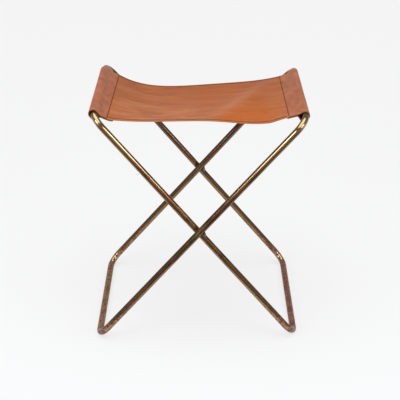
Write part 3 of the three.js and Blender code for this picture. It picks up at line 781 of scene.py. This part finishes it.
def saddle_leather():
    """Vegetable tanned saddle leather, dyed tan and waxed. The grain side is smooth and satin, with
    long cloudy streaks along the hide and fine pores, drawn a millimetre apart so that they show.
    It has a deeper orange painted shade right of the fold and in a patch behind, a pale painted
    highlight beside the fold's crest that is partly rubbed leather, a browner painted shade towards
    the rear, mottled red brown on the handled sleeves, and a dark line along the stitches that is
    partly the painted shade of their groove. The cut edges are bare golden brown, and the flesh side
    is dull brown and matt."""
    material, add = new_material("saddle_leather")
    cut = add("UVMap", {"uv_map": "cut"})
    across = add("SeparateXYZ", {}, cut).outputs["Y"]
    grain_side, stretched, rubbed, from_seam = (
        add("Attribute", {"attribute_name": name}).outputs["Fac"]
        for name in ("grain_side", "stretched", "rubbed", "from_seam")
    )

    # Streaks and clouds are longer along the hide than across it, and so are the small flecks.
    long_streaks = add("Mapping", {}, cut, scale=per_metre(58.8, 10))
    streak = add("TexNoise", {}, long_streaks, scale=1, detail=5, roughness=0.6, distortion=0.6)
    broad = add("Mapping", {}, cut, scale=per_metre(76.9, 29.4))
    cloud = add("TexNoise", {}, broad, scale=1, detail=4, roughness=0.55, distortion=0.5)
    fine = add("Mapping", {}, cut, scale=per_metre(7.143, 2.381))
    fleck = add("TexNoise", {}, fine, scale=1, detail=3, roughness=0.6)

    share = add("MapRange", SMOOTH, streak, 0.34, 0.66, 0, 1)
    grain = add("Mix", COLOURS, share, "#AE602E", "#C5763E")
    share = add("MapRange", SMOOTH, cloud, 0.44, 0.62, 0, 0.7)
    grain = add("Mix", COLOURS, share, grain, "#A85324")
    share = add("MapRange", SMOOTH, cloud, 0.46, 0.32, 0, 0.5)
    grain = add("Mix", COLOURS, share, grain, "#CC8456")
    # Painted shade: the leather turns a deeper orange right of the fold and in a patch behind.
    share = add("Math", TIMES, stretched, 0.88)
    grain = add("Mix", COLOURS, share, grain, "#BC5C0C")
    # Painted highlight, partly rubbed leather: paler beside the fold's crest.
    share = add("Math", TIMES, rubbed, 0.45)
    grain = add("Mix", COLOURS, share, grain, "#C87E56")
    share = add("MapRange", SMOOTH, fleck, 0.55, 0.75, 0, 0.22)
    grain = add("Mix", COLOURS, share, grain, "#8A4A2C")
    # Painted shade: browner towards the rear edge.
    rear = add("MapRange", {}, across, FRONT_EDGE, REAR_EDGE, 0, 0.48)
    grain = add("Mix", COLOURS, rear, grain, "#8E4A20")

    # Hands have mottled the sleeves, which lie outside the seams.
    in_sleeve = add("MapRange", SMOOTH, from_seam, -0.004, 0.0, 0.5, 0)
    handled = add("Mapping", {}, cut, scale=per_metre(11.11, 27.8))
    handled = add("TexNoise", {}, handled, scale=1, detail=4, roughness=0.6, distortion=0.5)
    share = add("MapRange", SMOOTH, handled, 0.32, 0.66, 0, 1)
    sleeve = add("Mix", COLOURS, share, "#8E5142", "#BC7252")
    grain = add("Mix", COLOURS, in_sleeve, grain, sleeve)

    # The thread has pressed a groove along both hems, as far as the seams, and along these, and its
    # shade is painted there as a dark line.
    front = add("Math", MINUS, across, FRONT_EDGE)
    rear = add("Math", MINUS, REAR_EDGE, across)
    to_edge = add("Math", {"operation": "MINIMUM"}, front, rear)
    hem = add("Math", MINUS, to_edge, HEM_INSET)
    hem = add("Math", {"operation": "ABSOLUTE"}, hem)
    hem = add("MapRange", SMOOTH, hem, 0.0006, 0.0026, 1.2, 0)
    sewn_part = add("MapRange", SMOOTH, from_seam, -0.0005, 0.0005, 0, 1)
    hem = add("Math", TIMES, hem, sewn_part)
    seam = add("Math", {"operation": "ABSOLUTE"}, from_seam)
    seam = add("MapRange", SMOOTH, seam, 0.0005, 0.0014, 1, 0)
    groove_and_shade = add("Math", {"operation": "MAXIMUM"}, hem, seam)
    share = add("Math", TIMES, groove_and_shade, 0.55)
    grain = add("Mix", COLOURS, share, grain, "#74381E")

    nap = add("TexNoise", {}, cut, scale=per_metre(1.25), detail=4, roughness=0.7)
    share = add("MapRange", SMOOTH, nap, 0.3, 0.7, 0, 1)
    flesh = add("Mix", COLOURS, share, "#845A40", "#A07654")
    share = add("MapRange", SMOOTH, cloud, 0.35, 0.65, 0, 0.4)
    flesh = add("Mix", COLOURS, share, flesh, "#744A32")
    share = add("MapRange", SMOOTH, grain_side, 0.4, 0.6, 0, 1)
    base = add("Mix", COLOURS, share, flesh, grain)
    edge_colour = add("Mix", COLOURS, sewn_part, "#70452A", "#AE703E")
    bare_edge = add("MapRange", SMOOTH, to_edge, 0.0002, 0.0011, 0.8, 0)
    base = add("Mix", COLOURS, bare_edge, base, edge_colour)

    # The relief has pores, long creases and the pressed grooves.
    cells = {"feature": "DISTANCE_TO_EDGE"}
    pores = add("TexVoronoi", cells, cut, scale=per_metre(1.111))
    pores = add("MapRange", SMOOTH, pores, 0.0, 0.12, 0, 0.35)
    creased = add("Mapping", {}, cut, scale=per_metre(13.33, 4.545))
    creases = add("TexNoise", {}, creased, scale=1, detail=4, roughness=0.6)
    relief = add("Math", PLUS, pores, creases)
    pressed = add("Math", TIMES, groove_and_shade, 1.5)
    relief = add("Math", MINUS, relief, pressed)
    bump = add("Bump", {}, strength=0.35, distance=0.0003, height=relief)
    dull = add("MapRange", SMOOTH, grain_side, 0.4, 0.6, 0.85, 0.5)
    gloss = add("MapRange", SMOOTH, streak, 0.3, 0.7, -0.05, 0.06)
    dull = add("Math", PLUS, dull, gloss)
    shader = add("BsdfPrincipled", {}, base, 0, dull, normal=bump, specular_ior_level=0.2)
    add("OutputMaterial", {}, shader)
    return material


skin, flat, side, flat_length = leather_skin()
seam_place = END_ROUND_STEPS + seam_column
flat_seams = (flat_length[seam_place], flat_length[-1 - seam_place])
from_seam = np.minimum(flat[..., 0] - flat_seams[0], flat_seams[1] - flat[..., 0])
stretched, rubbed = seat_shade_and_highlight(skin[..., 0], skin[..., 1])
sling_faces = grid_faces(*skin.shape[:2], close_rows=True, close_columns=False)
sling = closed_piece("leather_sling", skin, sling_faces, saddle_leather())
surface = {"grain_side": side, "stretched": stretched, "rubbed": rubbed, "from_seam": from_seam}
for name, values in surface.items():
    give_points(sling, name, values)
corner_points = np.zeros(len(sling.data.loops), np.int32)
sling.data.loops.foreach_get("vertex_index", corner_points)
cut_map = sling.data.uv_layers.new(name="cut")
cut_map.data.foreach_set("uv", flat.reshape(-1, 2)[corner_points].astype(np.float32).ravel())
merged(sling)

# Waxed brown linen thread, 0.9 mm thick, sews each sleeve shut across the sheet, through the flap
# under it, and hems the two long edges between the seams. It has a stitch every 4 mm.

THREAD_RADIUS = 0.00045
THREAD_RISE_SHARE = 1.3
STITCH_PITCH = 0.004
STITCH_LENGTH = 0.0033
SEAM_SINK = 0.0004
SEAM_INSET = 0.003
HEM_SPAN = 0.002

THREAD_RINGS = 6
THREAD_SIDES = 6
SEAM_POINTS = 70


def stitches(line, normal):
    """One stitch for each pitch along a line of points on the leather: a thread that rises from
    the leather and goes back into it, as circles of THREAD_SIDES points. Its height goes with
    sin(pi * share), and its radius with the root of that."""
    distance = distance_along(line)
    count = int(distance[-1] / STITCH_PITCH)
    first = (distance[-1] - (count - 1) * STITCH_PITCH) / 2
    share = np.linspace(0, 1, THREAD_RINGS)
    place = first + np.arange(count)[:, None] * STITCH_PITCH + (share - 0.5) * STITCH_LENGTH
    centre = np.stack([np.interp(place, distance, line[:, k]) for k in range(3)], axis=-1)
    up = np.stack([np.interp(place, distance, normal[:, k]) for k in range(3)], axis=-1)
    up /= np.linalg.norm(up, axis=-1, keepdims=True)
    along = np.gradient(centre, axis=1)
    along /= np.linalg.norm(along, axis=-1, keepdims=True)
    beside = np.cross(along, up)
    bow = np.sin(np.pi * share)
    lift = THREAD_RADIUS * THREAD_RISE_SHARE * bow
    size = THREAD_RADIUS * np.sqrt(np.clip(bow, 0, 1))
    angle = np.linspace(0, 2 * np.pi, THREAD_SIDES, endpoint=False)
    ring = np.cos(angle)[:, None] * beside[..., None, :] + np.sin(angle)[:, None] * up[..., None, :]
    points = centre + lift[:, None] * up
    return points[..., None, :] + size[:, None, None] * ring


def sewn_rows():
    """The lines of stitches on the grain side and on the other side: the two seams, across the
    sheet and through the flap under it, and the two hems, along it between the seams."""
    sewn = []
    half = LEATHER / 2
    y = np.linspace(REAR_EDGE - SEAM_INSET, FRONT_EDGE + SEAM_INSET, SEAM_POINTS)
    middle = sheet_middle(y)
    normal = sheet_normals(middle)
    for column, depth in ((seam_column, SEAM_SINK), (FLAP_END_STEPS, 0.0)):
        for k in (column, whole_columns - 1 - column):
            line = middle[:, k] + (half - depth) * normal[:, k]
            sewn.append(stitches(line, normal[:, k]))
    between = slice(seam_column + 1, whole_columns - 1 - seam_column)
    for hem in (REAR_EDGE - HEM_INSET, FRONT_EDGE + HEM_INSET):
        rows = sheet_middle(hem + np.array([HEM_SPAN, 0.0, -HEM_SPAN]))
        normal = sheet_normals(rows)
        for face in (1, -1):
            line = rows[1, between] + face * half * normal[1, between]
            sewn.append(stitches(line, face * normal[1, between]))
    return np.concatenate(sewn)


def waxed_thread():
    """Waxed linen thread, dark brown, a twist of two plies with painted shade where they meet."""
    material, add = new_material("waxed_linen_thread")
    place = add("TexCoord", {}).outputs["Object"]
    # A wave's bands lie 0.63 of its size apart, so the plies meet every 1.8 mm.
    twist = per_metre(2.857)
    ply = add("TexWave", {"bands_direction": "DIAGONAL"}, place, scale=twist, distortion=1)
    # Painted shade: darker in the hollow where the plies meet.
    base = add("Mix", COLOURS, ply.outputs["Fac"], "#52290F", "#7A4426")
    bump = add("Bump", {}, strength=0.4, distance=0.0001, height=ply.outputs["Fac"])
    shader = add("BsdfPrincipled", {}, base, 0, 0.7, normal=bump, specular_ior_level=0.25)
    add("OutputMaterial", {}, shader)
    return material


threads = sewn_rows()
stitch_faces = grid_faces(THREAD_RINGS, THREAD_SIDES)
offsets = np.arange(len(threads)) * THREAD_RINGS * THREAD_SIDES
thread_faces = (stitch_faces[None] + offsets[:, None, None]).reshape(-1, 4)
thread = merged(closed_piece("sling_stitching", threads, thread_faces, waxed_thread()))

# When the stool folds, each sleeve turns with its top bar and the seat hangs down between the
# loops in one loose bend, from 130 mm left of the middle to 130 mm right of it. Here the leather
# and its thread are fixed where they lie, and the CAD's two halves of the sling are hidden.

for piece in (sling, thread):
    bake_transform(piece)
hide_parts("sling_left_half", "sling_right_half")

# The stool stands on a plain pale floor, matt and wide enough to fill every view. The floor is
# only a stage, and no part of the stool.

FLOOR_HALF = 60.0
FLOOR_DROP = 0.0001


def matt_floor():
    """Plain white floor with a faint mottle, matt, so that it takes soft shadows."""
    material, add = new_material("matt_white_floor")
    place = add("TexCoord", {}).outputs["Object"]
    cloud = add("TexNoise", {}, place, scale=per_metre(833), detail=2)
    base = add("Mix", COLOURS, cloud, "#F4F4F4", "#F6F6F6")
    lit = add("BsdfPrincipled", {}, base, 0, 0.9, specular_ior_level=0.2)
    path = add("LightPath", {})
    seen = add("Math", PLUS, path.outputs["Is Camera Ray"], path.outputs["Is Glossy Ray"])
    seen = add("Math", PLUS, seen, path.outputs["Is Transmission Ray"])
    share = add("Math", TIMES, seen, 0.78)
    plain = add("Emission", {}, "#F6F6F6", 1)
    add("OutputMaterial", {}, add("MixShader", {}, share, lit, plain))
    return material


def level_sheet(name, x_ends, y_ends, height, material):
    """A level rectangle that faces up."""
    (left, right), (front, rear) = x_ends, y_ends
    corners = [(left, front, height), (right, front, height), (right, rear, height), (left, rear, height)]
    return new_piece(name, corners, [(0, 1, 2, 3)], material)


floor_ends = (-FLOOR_HALF, FLOOR_HALF)
floor = level_sheet("floor", floor_ends, floor_ends, -FLOOR_DROP, matt_floor())

# A grey cotton cloth lies on the floor in front, out of view, and is seen only as the dark side of
# the tubes' reflections. It hides nothing, casts no shadow, and leaves the light on the seat alone.

CLOTH_Y_ENDS = (-2.6, -0.32)
CLOTH_HALF_WIDTH = 1.6
CLOTH_HEIGHT = 0.001


def grey_cloth():
    """Plain matt cotton, with a faint weave, drawn a few millimetres across so that it shows."""
    material, add = new_material("grey_cotton_cloth")
    place = add("TexCoord", {}).outputs["Object"]
    weave = add("TexNoise", {}, place, scale=per_metre(3.333), detail=2)
    base = add("Mix", COLOURS, weave, "#585858", "#6A6A6A")
    shader = add("BsdfPrincipled", {}, base, 0, 0.9, specular_ior_level=0.1)
    add("OutputMaterial", {}, shader)
    return material


cloth_x_ends = (-CLOTH_HALF_WIDTH, CLOTH_HALF_WIDTH)
cloth = level_sheet("grey_cloth", cloth_x_ends, CLOTH_Y_ENDS, CLOTH_HEIGHT, grey_cloth())
cloth.visible_camera = False
cloth.visible_diffuse = False
cloth.visible_shadow = False

# Soft studio light: a pale room that is brighter behind the stool and dark behind the camera, a
# broad soft lamp overhead, and a wide, slightly cool panel at each side of the camera.

PANEL_AIM = (0, -0.1, 0.35)


def room(dark, pale):
    """World of an even dark grey that turns pale low down behind the stool."""
    world = bpy.data.worlds.new("room")
    world.use_nodes = True
    world.node_tree.nodes.clear()
    add = partial(add_node, world.node_tree)
    way = add("SeparateXYZ", {}, add("TexCoord", {}).outputs["Generated"])
    behind = add("MapRange", SMOOTH, way.outputs["Y"], 0.65, 0.97, 0, 1)
    low = add("MapRange", SMOOTH, way.outputs["Z"], 0.05, 0.55, 1, 0)
    share = add("Math", TIMES, behind, low)
    grey = add("MapRange", {}, share, 0, 1, dark, pale)
    add("OutputWorld", {}, add("Background", {}, grey))
    return world


def set_up(name, data, right, up, back, place):
    """An object of this data at a place, with its x, y and z axes right, up and back."""
    thing = bpy.data.objects.new(name, data)
    scene.collection.objects.link(thing)
    rows = [[right[k], up[k], back[k], place[k]] for k in range(3)]
    thing.matrix_world = Matrix(rows + [[0, 0, 0, 1]])
    return thing


def lamp(name, kind, place, aim, energy, **settings):
    """A lamp at a place, turned so that it shines towards its aim."""
    light = bpy.data.lights.new(name, kind)
    light.energy = energy
    for key, value in settings.items():
        setattr(light, key, value)
    back = np.array(place, float) - aim
    back /= np.linalg.norm(back)
    right = np.cross([0, 0, 1], back)
    right /= np.linalg.norm(right)
    set_up(name, light, right, np.cross(back, right), back, place)


scene.world = room(0.24, 0.95)
lamp("overhead", "SUN", (-0.1, -0.5, 3.0), (0, 0, 0.2), energy=2.15, angle=1.2)
panel = {"shape": "RECTANGLE", "size": 0.85, "size_y": 0.38, "color": (0.9, 1.0, 1.14)}
lamp("left_panel", "AREA", (-1.08, -1.24, 1.08), PANEL_AIM, energy=9.3, **panel)
lamp("right_panel", "AREA", (1.2, -1.13, 1.08), PANEL_AIM, energy=7.4, **panel)

# The camera stands 2.1 m in front of the stool, at 1.09 m, looking 22.7 degrees down through a
# long lens, with the photograph's small turn and tilt.

CAMERA_PLACE = (-0.0041, -2.0845, 1.09375)
CAMERA_PITCH = np.radians(22.747)
CAMERA_YAW = np.radians(0.218)
CAMERA_ROLL = np.radians(0.624)
FOCAL_PIXELS = 1131.8
PHOTO_PIXELS = 400
SENSOR_MM = 36

camera_data = bpy.data.cameras.new("camera")
camera_data.sensor_width = SENSOR_MM
camera_data.lens = FOCAL_PIXELS / PHOTO_PIXELS * SENSOR_MM
cos_yaw, sin_yaw = np.cos(CAMERA_YAW), np.sin(CAMERA_YAW)
cos_pitch, sin_pitch = np.cos(CAMERA_PITCH), np.sin(CAMERA_PITCH)
level_right = np.array([cos_yaw, -sin_yaw, 0])
ahead = np.array([cos_pitch * sin_yaw, cos_pitch * cos_yaw, -sin_pitch])
level_up = np.cross(level_right, ahead)
right = np.cos(CAMERA_ROLL) * level_right + np.sin(CAMERA_ROLL) * level_up
up = -np.sin(CAMERA_ROLL) * level_right + np.cos(CAMERA_ROLL) * level_up
scene.camera = set_up("camera", camera_data, right, up, -ahead, CAMERA_PLACE)
scene.view_settings.view_transform = "Standard"
